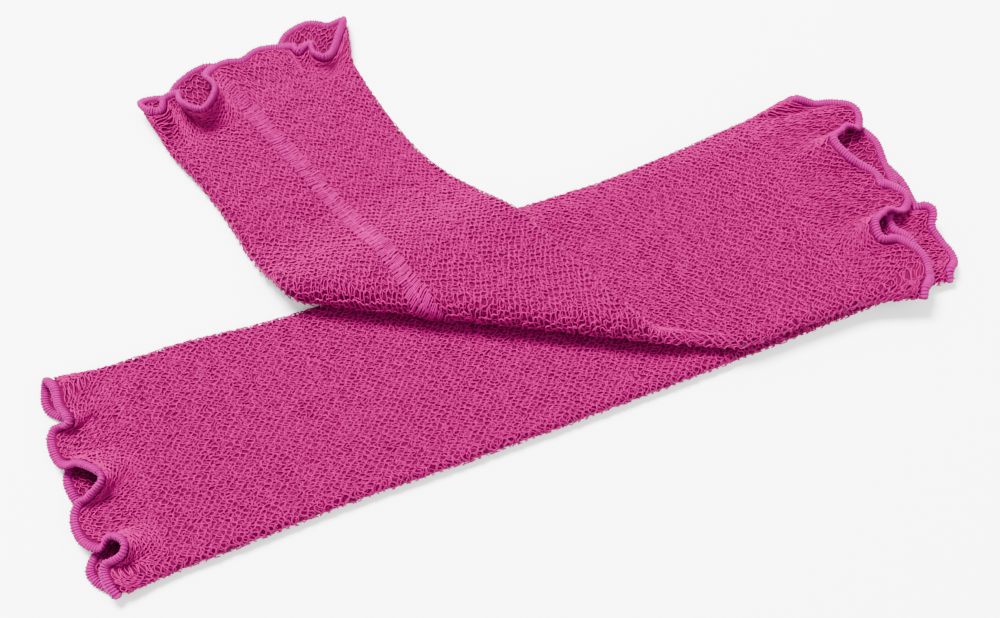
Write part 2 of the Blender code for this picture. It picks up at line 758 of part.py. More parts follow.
def build():
    clear_scene()
    knit, edge, band = (
        cloth("magenta_knit", KNIT_COLOUR),
        cloth("magenta_hem", HEM_COLOUR),
        cloth("magenta_seam", SEAM_COLOUR),
    )
    p = columns(TURN_STEPS, LAYER_STEPS)
    straight, folded = StraightWarmer(), FoldedWarmer()
    seam_p = seam_columns(folded)
    folded.hems[1].columns = with_seam(folded.hems[1].columns, seam_p)
    folded_body = folded_rings(folded, with_seam(p, seam_p))
    folded_all = rings(folded, folded_body)
    turned = RIGHT_ARM_RINGS + len(RUFFLE_RINGS) + round(FOLD_RINGS * SEAM_FROM_TURN)
    pieces = {
        "straight_warmer_tube": (tube(straight, rings(straight, straight_rings(straight, p))), knit),
        "straight_warmer_left_hem": (hem(straight, 0), edge),
        "straight_warmer_right_hem": (hem(straight, 1), edge),
        "folded_warmer_tube": (tube(folded, folded_all), knit),
        "folded_warmer_right_hem": (hem(folded, 0), edge),
        "folded_warmer_upper_hem": (hem(folded, 1), edge),
        "folded_warmer_seam_band": (seam(folded, folded_all[turned:-3]), band),
    }
    for (points, _), _ in pieces.values():
        points[:, 2] = np.maximum(points[:, 2], 0)  # the cloth lies flat on the floor
    everything = np.concatenate([points for (points, _), _ in pieces.values()])
    low, high = everything.min(axis=0), everything.max(axis=0)
    shift = np.array([-(low[0] + high[0]) / 2, -(low[1] + high[1]) / 2, 0.0])
    for name, ((points, faces), material) in pieces.items():
        add_object(name, points, faces, material, shift)


build()
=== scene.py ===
import math

import bpy
import numpy as np
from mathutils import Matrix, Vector


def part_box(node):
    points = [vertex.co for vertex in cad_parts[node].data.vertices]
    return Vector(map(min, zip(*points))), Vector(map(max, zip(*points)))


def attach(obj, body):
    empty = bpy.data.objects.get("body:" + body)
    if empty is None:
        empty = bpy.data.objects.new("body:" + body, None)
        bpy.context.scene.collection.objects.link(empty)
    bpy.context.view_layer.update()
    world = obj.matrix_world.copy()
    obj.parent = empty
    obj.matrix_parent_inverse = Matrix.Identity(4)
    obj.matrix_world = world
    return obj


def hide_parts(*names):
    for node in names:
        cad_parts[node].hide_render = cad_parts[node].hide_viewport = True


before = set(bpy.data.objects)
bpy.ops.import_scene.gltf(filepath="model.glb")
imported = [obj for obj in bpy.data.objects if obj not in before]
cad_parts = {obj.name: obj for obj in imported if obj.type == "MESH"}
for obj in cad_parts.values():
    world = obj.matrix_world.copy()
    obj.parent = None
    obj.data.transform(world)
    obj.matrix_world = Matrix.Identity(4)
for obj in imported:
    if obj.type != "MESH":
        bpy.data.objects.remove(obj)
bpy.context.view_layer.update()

# A pair of knitted wrist warmers with ruffled ends. Lengths are millimetres and angles degrees
# until a mesh is made. The tables are those of the part's solids.

# Cloth
WALL = 1.6  # thickness of the knit
EDGE_WALL = 1.2  # the same at a ruffle's edge, where the knit is stretched
GAP = 1.8  # air between the two layers of a flat tube
HALF = (GAP + WALL) / 2  # from a flat tube's middle plane to the middle of its wall
TUBE = GAP + 2 * WALL  # thickness of a flat tube
CLEAR = 0.3  # between pieces that touch

# Rolled hem round each ruffled edge
HEM_WIDTH = 3.4
HEM_THICK = 2.2

# Seam band down the folded warmer
SEAM_WIDTH = 6.3
SEAM_ACROSS = 5.5  # from the middle of its layer, towards the far side

# Ruffles: the last stretch of each tube, from the flat body out to the hem's middle line
RUFFLE = 20.0
ROOT_REACH = 7.0  # how far the ruffle leaves the body still flat
CURL_REACH = 4.0  # length over which the edge turns to its own lean
CURL_RISE = 8.0  # rise at which an edge leans by CURL_LEAN
CURL_LEAN = 125.0
CURL_LEAST = -0.4  # most that an edge dips inwards, as a share of CURL_LEAN
SIDE_BLEND = 0.12  # share of a layer over which the lean fades to none at its side
HEM_INSET = HEM_WIDTH / 2 + CLEAR  # the wall stops this far before the hem's middle line
CUT = 1 - HEM_INSET / (3 * CURL_REACH)  # the same, as a share of the ruffle's curve

# Fold of the second warmer
FOLD_START = (-71.0, -3.2)  # where the fold's outer edge meets the left side
FOLD_ANGLE = -7.3
FOLD_RADIUS = 3.5  # of the tube's middle plane
FOLD_SETTLE = (0.2, 20.0)  # how much the upper arm sinks past the fold, and over what length

# Heights at which the arms lie
STEP_UP = TUBE + 0.6  # from one tube's middle plane to that of a tube lying on it
DROOP_ON_FIRST = (-1.5, 19.0)  # the right arm comes down past the straight warmer's far edge
DROOP_UPPER = (-1.5, 22.0)  # and so does the upper arm, more slowly
DROOP_ON_SECOND = (-1.5, 27.0)  # the upper arm also comes down past the right arm's far edge

# Sections of each flat tube. Columns: x and y of the middle, width to the far side, to the near
STRAIGHT_SECTIONS = (
    (-116.0, -60.4, 39.0, 37.6),
    (-94.0, -51.3, 38.2, 37.4),
    (-66.0, -39.8, 35.0, 36.8),
    (-28.0, -24.1, 33.8, 37.8),
    (20.0, -4.2, 34.6, 38.4),
    (70.0, 16.4, 35.8, 38.2),
    (116.0, 35.4, 37.0, 37.4),
)
RIGHT_ARM_SECTIONS = (
    (106.7, 36.0, 44.0, 42.0),
    (86.0, 27.0, 41.8, 41.0),
    (63.0, 17.1, 39.8, 39.2),
    (51.5, 12.2, 39.4, 33.2),
    (43.0, 8.8, 39.6, 30.2),
    (27.0, 2.4, 40.2, 31.6),
    (9.0, -4.6, 40.0, 35.2),
    (-9.5, -12.0, 39.2, 39.0),
)
UPPER_ARM_SECTIONS = (
    (-41.6, 20.4, 37.6, 41.2),
    (-57.0, 37.5, 36.0, 38.6),
    (-73.6, 61.0, 34.8, 37.4),
    (-88.6, 84.4, 38.4, 38.4),
)
# How the folded warmer's seam wanders. Columns: u along it, slip of the skin round the tube
SKIN_SLIP = (
    (90.0, 0.0),
    (120.0, 3.0),
    (145.0, 3.0),
    (165.0, -1.2),
    (190.0, -4.5),
    (210.0, -3.4),
    (235.0, -1.3),
    (255.0, 0.0),
)

# Ends. Columns: x and y of the middle of the hem's base line, direction in which the tube points
LEFT_END = (-134.5, -68.0, 202.4)
RIGHT_END_LOWER = (134.5, 43.0, 22.4)
RIGHT_END_UPPER = (125.0, 44.0, 23.5)
UPPER_END = (-100.5, 100.5, 126.5)

# Hem waves, a row for each turn of the hem's middle line round the mouth: the layer on top from
# the far side to the near one, then the layer beneath, coming back. The first row of each table
# is the turn at that side. Columns: across from the middle of the end, out along the tube, and
# height from the floor
LEFT_TOP = (
    (40.7, 1.6, 5.0),
    (36.2, -0.4, 7.2),
    (29.2, -0.9, 8.2),
    (21.3, -3.4, 9.4),
    (21.2, 1.6, 6.0),
    (19.8, 5.4, 4.3),
    (10.5, 4.6, 4.8),
    (6.0, -3.0, 8.6),
    (-3.3, -9.4, 11.8),
    (-6.3, -3.4, 8.6),
    (-7.3, 1.6, 5.6),
    (-10.2, 4.6, 4.2),
    (-17.6, 4.0, 4.3),
    (-22.2, -1.0, 5.4),
    (-22.0, -6.7, 8.8),
    (-27.0, -10.5, 11.4),
    (-29.5, -9.1, 10.6),
    (-31.2, -1.0, 6.4),
    (-35.2, -1.0, 6.2),
)
LEFT_UNDER = (
    (-39.2, -2.4, 3.8),
    (-35.8, -1.0, 1.3),
    (-28.1, 4.5, 1.2),
    (-21.3, -0.9, 1.3),
    (-12.9, -0.4, 1.3),
    (-3.6, 2.7, 1.3),
    (4.8, 4.3, 1.3),
    (12.2, 0.4, 1.3),
    (21.2, 1.7, 1.3),
    (26.5, -0.8, 1.3),
    (33.5, 4.7, 1.3),
    (38.9, 4.0, 1.8),
)
RIGHT_LOWER_TOP = (
    (36.4, 4.0, 2.9),
    (33.4, 4.2, 4.5),
    (25.0, 11.0, 4.2),
    (14.0, 14.5, 4.2),
    (3.1, 16.9, 4.2),
    (-5.6, 15.4, 5.0),
    (-11.6, 13.0, 8.6),
    (-14.0, 16.4, 10.0),
    (-18.3, 14.6, 7.4),
    (-24.3, 16.0, 4.6),
    (-32.5, 16.3, 4.3),
    (-36.0, 11.6, 5.2),
)
RIGHT_LOWER_UNDER = (
    (-39.4, 10.6, 3.1),
    (-35.2, 10.4, 1.1),
    (-28.7, 10.2, 1.2),
    (-21.1, 11.7, 1.2),
    (-12.1, 10.5, 1.2),
    (-2.9, 13.7, 1.2),
    (5.0, 13.4, 1.2),
    (13.2, 15.0, 1.2),
    (24.0, 11.0, 1.2),
    (33.6, 4.4, 1.1),
)
RIGHT_UPPER_TOP = (
    (45.0, 3.0, 8.8),
    (42.0, 4.0, 11.4),
    (37.5, 11.0, 9.8),
    (35.0, 19.5, 10.0),
    (31.0, 24.5, 10.3),
    (23.5, 20.5, 10.8),
    (22.6, 12.0, 13.4),
    (18.9, 4.1, 15.4),
    (10.0, 6.1, 14.4),
    (5.4, 11.0, 11.4),
    (1.5, 14.6, 10.4),
    (-4.0, 13.4, 11.4),
    (-7.2, 18.0, 9.8),
    (-10.6, 20.6, 9.2),
    (-13.8, 17.6, 9.6),
    (-14.8, 12.4, 10.8),
    (-15.0, 5.6, 13.4),
    (-18.5, -1.8, 15.0),
    (-24.8, -2.2, 13.8),
    (-28.0, 6.1, 11.6),
    (-34.7, 10.9, 9.8),
    (-42.2, 8.2, 9.6),
    (-46.4, 3.0, 11.0),
)
RIGHT_UPPER_UNDER = (
    (-48.6, 1.8, 9.0),
    (-45.2, 1.8, 6.8),
    (-36.0, 5.6, 7.4),
    (-27.6, 11.5, 8.4),
    (-21.4, 7.7, 9.2),
    (-14.2, 9.9, 7.6),
    (-8.8, 18.6, 6.8),
    (-0.4, 21.5, 6.8),
    (7.8, 23.2, 6.8),
    (16.6, 25.1, 7.4),
    (25.2, 21.8, 7.4),
    (32.7, 15.7, 6.6),
    (37.0, 10.9, 6.4),
    (41.4, 5.0, 6.4),
)
UPPER_TOP = (
    (47.7, 0.7, 4.4),
    (43.3, -5.3, 6.8),
    (36.8, -11.9, 8.4),
    (30.0, -15.8, 10.2),
    (27.6, -11.7, 9.8),
    (29.2, -3.5, 7.6),
    (23.8, -5.0, 8.0),
    (23.1, 2.0, 5.6),
    (19.7, 5.8, 4.4),
    (12.8, 9.4, 4.6),
    (4.6, 7.4, 5.6),
    (-0.4, 9.3, 6.6),
    (-5.0, 10.9, 6.0),
    (-10.8, 5.7, 9.0),
    (-12.4, -7.0, 13.0),
    (-21.3, -13.4, 14.6),
    (-25.7, -5.6, 13.0),
    (-24.3, 5.2, 8.0),
    (-28.4, 6.4, 8.0),
    (-32.6, 0.2, 10.0),
    (-37.0, 1.7, 9.4),
)
UPPER_UNDER = (
    (-36.9, 10.9, 5.6),
    (-32.4, 14.5, 2.4),
    (-25.8, 11.9, 1.4),
    (-19.0, 16.2, 1.4),
    (-7.5, 17.7, 1.4),
    (-3.4, 12.3, 1.3),
    (4.6, 8.9, 1.3),
    (14.3, 6.9, 1.3),
    (22.6, 8.4, 1.3),
    (28.9, 12.6, 1.6),
    (37.3, 12.4, 1.6),
    (42.9, 6.4, 1.4),
    (48.2, 5.6, 1.6),
)
EDGE_BLEND = 0.65  # how far the columns spread along the hem rather than straight out

# The solids' own columns and rings in a ruffle, which tell where their box begins
HEM_STEP = 3.6  # spacing of the columns along a hem
RUFFLE_RINGS = (0.2, 0.42, 0.65, CUT)

# Steps over which a direction is measured, and how many places give a length round a mouth
P_STEP = 4e-3
U_STEP = 0.15
FINE = 1601

# Knit: two nets of yarn, one lying on the other, over a thin closed wall coloured as painted shade
WALE = 2.75  # width of a loop round the tube
COURSE = 1.35  # from one row of loops to the next
LOOP_SWAY = 0.05  # sideways swing of a loop, as a share of its width
LOOP_REACH = 0.84  # how far a loop reaches to the next rows
LOOP_DEPTH = 0.16  # how far it dives and rises
LOOP_JITTER = 0.15  # how unevenly the loops lie: sideways, as a share of their width
REACH_JITTER = 0.3  # along the tube
LIFT_JITTER = 0.12  # and in height
# Columns: shift along the tube and round it, as shares of a loop; height; radius; points a loop
NETS = (
    (0.5, 0.25, 0.48, 0.24, 5),
    (0.0, 0.0, 0.86, 0.28, 6),
)
RUFFLE_COURSES = 16  # rows of loops in a ruffle
RUFFLE_FULLNESS = 1.4  # loops round a ruffle for each round the body
YARN_SIDES = 3
CORE_THICK = 0.8  # the wall between the nets
CORE_ROUND = 84  # columns round it
CORE_STEP = 4.0  # between its rings along the body
CORE_RUFFLE = 12  # rings in a ruffle
CORE_END = CUT + 0.06  # share of the ruffle at which the wall ends, inside the hem
MOST_FACES = 93000  # in one piece of yarn, a whole number of threads' lengths
# Yarn that faces down more than the first, or lies further than the second under other cloth, is
# hidden and left out
YARN_FACING = -0.35
COVERED = 7.0

# Thread wound round each rolled hem, over a smooth roll
WRAP_PITCH = 0.95  # from one turn to the next
WRAP_YARN = 0.43  # radius
WRAP_POINTS = 8  # to a turn
WRAP_INSET = (0.34, 0.28)  # from the hem's side, and from its face, in to the thread's middle
TURN_JITTER = 0.5  # radians
WRAP_JITTER = 0.05  # share of the reach
ROLL_INSET = (0.32, 0.24)  # the same as WRAP_INSET, in to the roll's surface
ROLL_RINGS = 320
ROLL_SIDES = 8

# Cross stitches down the seam, in two columns. Widths are shares of half the band
SEAM_PITCH = 0.62
SEAM_YARN = 0.2  # radius
SEAM_SLANT = 0.35
SEAM_LIFT = 0.2  # over the knit's own wall
SEAM_CROWN = (0.5, 1.6)  # rise at a stitch's middle, and how fast it falls to both ends
SEAM_FROM = 128.0  # u at which they come out from under the fold
SEAM_PAST = 14.0  # how far they run on into the ruffle
STITCH_COLUMN = 0.45  # from the band's middle to a column's
STITCH_REACH = 0.55  # from a stitch's middle to its end
STITCH_POINTS = 6
STITCH_JITTER = (0.12, 0.18, 0.1, 0.06)  # in width, along the tube, in height, and sideways

# Colours, linear
YARN_COLOUR = (0.205, 0.0002, 0.068)
# painted shade: the wall under the yarn is far darker than the yarn, for the shade in the knit's
# holes
CORE_SHADE_COLOUR = (0.042, 0.0002, 0.01)
WRAP_COLOUR = (0.15, 0.0002, 0.068)
SEAM_THREAD_COLOUR = (0.23, 0.0002, 0.09)
FLOOR_COLOUR = (0.92, 0.92, 0.92)
GLEAM = (1.0, 0.0, 0.6)  # tint of the yarn's shine
SHINE = 0.4
SEED = 7

# Studio, in metres
FLOOR_HALF = 3
FLOOR_TOP = -0.0002
SKY = 1.8
# Columns: name, place, size, energy
LIGHTS = (
    ("key", (-0.5, 0.55, 1.6), 0.7, 235),
    ("fill", (0.6, -0.5, 0.8), 0.8, 16),
)
CAMERA_PLACE = (0.0, -0.2185, 0.3785)  # from the middle of the tables' own frame
CAMERA_TILT = 30  # from straight down
LENS = 45
SENSOR = 36


def unit(v):
    return v / np.linalg.norm(v, axis=-1, keepdims=True)


def heading(degrees):
    angle = np.radians(degrees)
    return np.array([np.cos(angle), np.sin(angle)])


def eased(x, start, stop):
    """0 before start, 1 after stop, and a smooth rise between them."""
    t = np.clip((x - start) / (stop - start), 0, 1)
    return t * t * (3 - 2 * t)


def smooth_through(knots, values, x):
    """A smooth curve through values at knots, carried on straight past both ends."""
    knots, values = np.asarray(knots, float), np.asarray(values, float)
    x = np.asarray(x, float)
    slopes = np.gradient(values, knots, axis=0)
    inside = np.clip(x, knots[0], knots[-1])
    i = np.clip(np.searchsorted(knots, inside, side="right") - 1, 0, len(knots) - 2)
    span = (knots[i + 1] - knots[i])[..., None]
    t = (inside - knots[i])[..., None] / span
    found = (
        values[i] * (1 + 2 * t) * (1 - t) ** 2
        + values[i + 1] * t * t * (3 - 2 * t)
        + slopes[i] * span * t * (1 - t) ** 2
        - slopes[i + 1] * span * t * t * (1 - t)
    )
    past = (x - inside)[..., None]
    return found + past * np.where(past < 0, slopes[0], slopes[-1])


class Strip:
    """The middle line of a flat tube in its own plane, with its width on either side."""

    def __init__(self, sections):
        self.rows = np.array(sections)
        steps = np.linalg.norm(np.diff(self.rows[:, :2], axis=0), axis=1)
        self.knots = np.concatenate([[0], np.cumsum(steps)])
        self.length = self.knots[-1]

    def at(self, u):
        rows = smooth_through(self.knots, self.rows, u)
        ahead = smooth_through(self.knots, self.rows, u + 0.5)
        along = unit(ahead[..., :2] - rows[..., :2])
        return rows, along


def section(p, width):
    """Across and height on a flat tube's section. p runs 0 to 4 round it: the far side's turn,
    the upper layer, the near side's turn and the lower layer."""
    flat = width - HALF
    zone = np.floor(p % 4).astype(int)
    t = p % 1
    turn = np.radians(180 * t - 90)
    across = np.choose(
        zone,
        [
            flat + HALF * np.cos(turn),
            flat * (1 - 2 * t),
            -flat - HALF * np.cos(turn),
            flat * (2 * t - 1),
        ],
    )
    height = np.choose(zone, [HALF * np.sin(turn), HALF, -HALF * np.sin(turn), -HALF])
    return across, height


def round_share(p, flat):
    """Length round a tube's section up to p, where its flat layers reach flat to each side."""
    turn, layer = np.pi * HALF, 2 * flat
    lap, p = np.floor(p / 4), p % 4
    lengths = np.cumsum([0, turn, layer, turn, layer])
    return np.interp(p, np.arange(5), lengths) + lap * lengths[-1]


def p_at(length, flat):
    """The p at which round_share is this length."""
    turn, layer = np.pi * HALF, 2 * flat
    lengths = np.cumsum([0, turn, layer, turn, layer])
    lap, rest = np.floor(length / lengths[-1]), length % lengths[-1]
    return np.interp(rest, lengths, np.arange(5)) + 4 * lap


class Hem:
    """The wavy middle line of the hem round one mouth, as a closed curve of p."""

    def __init__(self, end, top, under, half_width, flipped=False):
        self.origin = np.array([end[0], end[1]])
        self.out = heading(end[2])
        across = np.array([-self.out[1], self.out[0]])
        self.across = across if across[1] > 0 else -across
        rows = np.array(top + under)
        self.points = self.placed(rows[:, 0], rows[:, 1], rows[:, 2])
        flat = half_width - HALF
        n = len(top)
        side = 2.5 if flipped else 0.5
        steps = np.array([self.arc_length(i) for i in range(len(rows))])
        # Length round the body at each row, spread evenly along the hem between its side turns
        halves = (steps[:n], steps[n:])
        shares = [(np.cumsum(half) - half) / half.sum() for half in halves]
        even = np.concatenate([shares[0], 1 + shares[1]]) * round_share(2.0, flat)
        even += round_share(side, flat)
        # The same where the hem would run straight out of the body
        straight = np.concatenate(
            [
                side + 0.5 + (flat - rows[:n, 0]) / (2 * flat),
                side + 2.5 + (flat + rows[n:, 0]) / (2 * flat),
            ]
        )
        straight = round_share(straight, flat)
        straight[[0, n]] = even[[0, n]]
        self.at = p_at(straight + EDGE_BLEND * (even - straight), flat)
        counts = np.maximum(np.round(steps / HEM_STEP).astype(int), 2)
        knots = np.append(self.at, self.at[0] + 4)
        spans = zip(knots[:-1], knots[1:], counts)
        self.columns = np.concatenate(
            [np.linspace(start, stop, count, endpoint=False) for start, stop, count in spans]
        )

    def placed(self, across, out, height):
        plan = self.origin + across[..., None] * self.across + out[..., None] * self.out
        return np.concatenate([plan, height[..., None]], axis=-1)

    def arc_length(self, i):
        """Length of the hem from row i to the next."""
        points = self.along_row(np.full(9, i), np.linspace(0, 1, 9))
        return np.linalg.norm(np.diff(points, axis=0), axis=1).sum()

    def point(self, p):
        p = (p - self.at[0]) % 4 + self.at[0]
        knots = np.append(self.at, self.at[0] + 4)
        i = np.clip(np.searchsorted(knots, p, side="right") - 1, 0, len(self.at) - 1)
        return self.along_row(i, (p - knots[i]) / (knots[i + 1] - knots[i]))

    def along_row(self, i, share):
        """The point this share of the way from row i to the next, on a Catmull-Rom curve."""
        count = len(self.points)
        before, first, second, after = (self.points[(i + k) % count] for k in (-1, 0, 1, 2))
        a, b, c = (
            np.linalg.norm(end - start, axis=-1, keepdims=True) ** 0.5
            for start, end in ((before, first), (first, second), (second, after))
        )
        leave = second - first + b * ((first - before) / a - (second - before) / (a + b))
        arrive = second - first + b * ((after - second) / c - (after - first) / (b + c))
        t = share[..., None]
        return (
            first * (1 + 2 * t) * (1 - t) ** 2
            + second * t * t * (3 - 2 * t)
            + leave * t * (1 - t) ** 2
            - arrive * t * t * (1 - t)
        )


class Warmer:
    """The middle of one warmer's wall, as a function of p round it and u along it. The body
    runs from u = 0 to its length, and a ruffle of RUFFLE more lies past each end."""

    def __init__(self, strip, lay, first_hem, last_hem):
        self.strip, self.lay = strip, lay
        self.hems = (first_hem, last_hem)

    def body(self, p, u):
        rows, along = self.strip.at(u)
        width = (rows[..., 2] + rows[..., 3]) / 2
        across, height = section(p, width)
        slip = self.slip(u) * (1 - (across / width) ** 2)
        across = across + (rows[..., 2] - rows[..., 3]) / 2 + slip
        side = np.stack([-along[..., 1], along[..., 0]], axis=-1) * self.far_side
        return self.lay(rows[..., :2] + across[..., None] * side, height)

    @staticmethod
    def slip(u):
        return np.zeros_like(u)

    def ruffle(self, p, share, last):
        """share runs from 0 at the body to 1 at the hem's middle line."""
        hem = self.hems[last]
        u = np.full_like(p, self.strip.length if last else 0.0)
        root = self.body(p, u)
        outward = self.outward(p, u)
        edge = hem.point(p)
        rise = ((edge - root) * outward).sum(-1)
        from_side = np.where(p % 2 < 1, 0, 0.5 - np.abs(p % 1 - 0.5))
        free = eased(from_side, 0, SIDE_BLEND)
        lean = np.radians(CURL_LEAN * np.clip(rise / CURL_RISE, CURL_LEAST, 1) * free)[..., None]
        out = np.append(hem.out, 0.0)
        way = out * np.cos(lean) + outward * np.sin(lean)
        near = np.minimum(np.linalg.norm(edge - root, axis=-1, keepdims=True) / RUFFLE, 1)
        first, second = root + out * ROOT_REACH * near, edge - way * CURL_REACH
        t = share[..., None]
        return (
            root * (1 - t) ** 3
            + first * 3 * t * (1 - t) ** 2
            + second * 3 * t * t * (1 - t)
            + edge * t**3
        )

    def outward(self, p, u):
        """The way out of the tube, square to the body's wall."""
        step = 1e-3
        round_it = self.body(p + step, u) - self.body(p - step, u)
        along_it = self.body(p, u + step) - self.body(p, u - step)
        return unit(np.cross(round_it, along_it)) * self.outside

    def wall(self, p, u):
        p, u = np.broadcast_arrays(np.asarray(p, float), np.asarray(u, float))
        length = self.strip.length
        found = self.body(p, np.clip(u, 0, length))
        for last, past in ((0, -u), (1, u - length)):
            here = past > 0
            if here.any():
                found[here] = self.ruffle(p[here], past[here] / RUFFLE, last)
        return found

    def half_wall(self, u):
        past = np.maximum(-u, u - self.strip.length)
        return (WALL + (EDGE_WALL - WALL) * np.clip(past / RUFFLE, 0, 1))[:, None] / 2

    def normal(self, p, u):
        p, u = np.broadcast_arrays(np.asarray(p, float), np.asarray(u, float))
        round_it = self.wall(p + P_STEP, u) - self.wall(p - P_STEP, u)
        along_it = self.wall(p, u + U_STEP) - self.wall(p, u - U_STEP)
        return unit(np.cross(round_it, along_it)) * self.outside


class StraightWarmer(Warmer):
    far_side = 1
    outside = 1

    def __init__(self):
        strip = Strip(STRAIGHT_SECTIONS)
        first = Hem(LEFT_END, LEFT_TOP, LEFT_UNDER, 39.0)
        last = Hem(RIGHT_END_LOWER, RIGHT_LOWER_TOP, RIGHT_LOWER_UNDER, 38.0)
        super().__init__(strip, self.on_floor, first, last)

    @staticmethod
    def on_floor(plan, height):
        return np.concatenate([plan, (TUBE / 2 + height)[..., None]], axis=-1)


class FoldedWarmer(Warmer):
    far_side = -1
    outside = -1

    def __init__(self):
        self.fold_way = heading(FOLD_ANGLE)
        self.fold_square = np.array([-self.fold_way[1], self.fold_way[0]])
        self.roll = FOLD_RADIUS + TUBE / 2  # from the fold's outer edge to its axis
        upper = [self.unfolded(row) for row in UPPER_ARM_SECTIONS]
        strip = Strip(RIGHT_ARM_SECTIONS + tuple(upper))
        first = Hem(RIGHT_END_UPPER, RIGHT_UPPER_TOP, RIGHT_UPPER_UNDER, 42.0)
        last = Hem(UPPER_END, UPPER_TOP, UPPER_UNDER, 39.0, flipped=True)
        super().__init__(strip, self.folded, first, last)

    @staticmethod
    def slip(u):
        table = np.array(SKIN_SLIP)
        inside = np.clip(u, table[0, 0], table[-1, 0])
        return smooth_through(table[:, 0], table[:, 1:], inside)[..., 0]

    def from_fold(self, plan):
        """Place along the fold, and distance from its outer edge."""
        offset = plan - np.array(FOLD_START)
        return offset @ self.fold_way, offset @ self.fold_square

    def unfolded(self, row):
        """A section of the upper arm, turned back into the right arm's plane."""
        along, away = self.from_fold(np.array(row[:2]))
        flat = 2 * self.roll - np.pi * FOLD_RADIUS - away
        plan = np.array(FOLD_START) + along * self.fold_way + flat * self.fold_square
        return (plan[0], plan[1], row[2], row[3])

    def folded(self, plan, height):
        along, away = self.from_fold(plan)
        turn = np.clip((self.roll - away) / FOLD_RADIUS, 0, np.pi)
        past = np.maximum(self.roll - away - np.pi * FOLD_RADIUS, 0)
        lying = np.maximum(away - self.roll, 0) + past
        square = self.roll - FOLD_RADIUS * np.sin(turn) + lying
        where = (
            np.array(FOLD_START)
            + along[..., None] * self.fold_way
            + square[..., None] * self.fold_square
        )
        lower = self.right_arm_height(where)
        upper = self.upper_arm_height(where, past)
        share = (1 - np.cos(turn)) / 2
        middle = lower + share * (upper - lower)
        plan = where + (height * np.sin(turn))[..., None] * self.fold_square
        return np.concatenate([plan, (middle + height * np.cos(turn))[..., None]], axis=-1)

    @staticmethod
    def past_edge(plan, sections, side):
        """How far plan lies past the straight line through the far edge of these sections."""
        first, last = np.array(sections[0]), np.array(sections[-1])
        along = unit(last[:2] - first[:2])
        square = np.array([-along[1], along[0]]) * side
        share = (plan - first[:2]) @ along / np.linalg.norm(last[:2] - first[:2])
        return (plan - first[:2]) @ square - (first[2] + share * (last[2] - first[2]))

    def right_arm_height(self, plan):
        past_first = self.past_edge(plan, STRAIGHT_SECTIONS[3:6], 1)
        return TUBE / 2 + STEP_UP * (1 - eased(past_first, *DROOP_ON_FIRST))

    def upper_arm_height(self, plan, past_fold):
        past_first = self.past_edge(plan, STRAIGHT_SECTIONS[3:6], 1)
        past_second = self.past_edge(plan, RIGHT_ARM_SECTIONS, -1)
        settled = FOLD_SETTLE[0] * eased(past_fold, 0, FOLD_SETTLE[1])
        on_first = STEP_UP * (1 - eased(past_first, *DROOP_UPPER))
        on_second = (2 * FOLD_RADIUS - settled) * (1 - eased(past_second, *DROOP_ON_SECOND))
        return TUBE / 2 + on_first + on_second


class Round:
    """p as a function of the share of the way round, even in cloth at the body and at each hem."""

    def __init__(self, warmer):
        self.warmer = warmer
        flat = warmer.strip.rows[:, 2:].mean() - HALF
        fine = np.linspace(0, 4, FINE)
        even = round_share(fine, flat) / round_share(4.0, flat)
        self.fine, self.tables = fine, [even]
        for hem in warmer.hems:
            points = hem.point(fine)
            steps = np.linalg.norm(np.diff(points, axis=0), axis=1)
            share = np.concatenate([[0], np.cumsum(steps)]) / steps.sum()
            self.tables.append(share + (even - share).mean())

    def p(self, share, u):
        found = self.look_up(0, share)
        for last, past in ((0, -u), (1, u - self.warmer.strip.length)):
            blend = eased(past / RUFFLE, 0, 1)
            found = found + blend * (self.look_up(1 + last, share) - found)
        return found

    def look_up(self, which, share):
        table = self.tables[which]
        lap = np.floor(share - table[0])
        return np.interp(share - lap, table, self.fine) + 4 * lap


def mesh_object(name, points, faces, material):
    mesh = bpy.data.meshes.new(name)
    points = (points + SHIFT) / 1000
    points[:, 2] = np.maximum(points[:, 2], 0)  # flat where it rests
    mesh.vertices.add(len(points))
    mesh.vertices.foreach_set("co", points.ravel())
    sizes = faces.shape[1]
    mesh.loops.add(faces.size)
    mesh.polygons.add(len(faces))
    mesh.polygons.foreach_set("loop_start", np.arange(len(faces)) * sizes)
    mesh.loops.foreach_set("vertex_index", faces.ravel())
    mesh.update(calc_edges=True)
    mesh.validate()
    mesh.shade_smooth()
    mesh.materials.append(material)
    obj = bpy.data.objects.new(name, mesh)
    bpy.context.scene.collection.objects.link(obj)
    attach(obj, "root")
    return obj


def ring_faces(rows, columns):
    """Quads of a grid of rows by columns that closes both ways."""
    r, c = np.meshgrid(np.arange(rows), np.arange(columns), indexing="ij")
    here, ahead, right = r * columns, (r + 1) % rows * columns, (c + 1) % columns
    return np.stack([here + c, here + right, ahead + right, ahead + c], -1).reshape(-1, 4)


def core(warmer, around, name, material):
    """A thin closed wall that fills the middle of the knit, dark as painted shade in its holes."""
    length = warmer.strip.length
    body = np.linspace(0, length, int(length / CORE_STEP))
    first = -RUFFLE * CORE_END * np.linspace(1, 0, CORE_RUFFLE, endpoint=False)
    last = length - first[::-1]
    u = np.concatenate([first, body, last])
    share = np.arange(CORE_ROUND) / CORE_ROUND
    u, share = np.meshgrid(u, share, indexing="ij")
    p = around.p(share, u)
    middle, way = warmer.wall(p, u), warmer.normal(p, u) * CORE_THICK / 2
    rings = np.concatenate([middle + way, (middle - way)[::-1]])
    return mesh_object(name, rings.reshape(-1, 3), ring_faces(len(rings), CORE_ROUND), material)


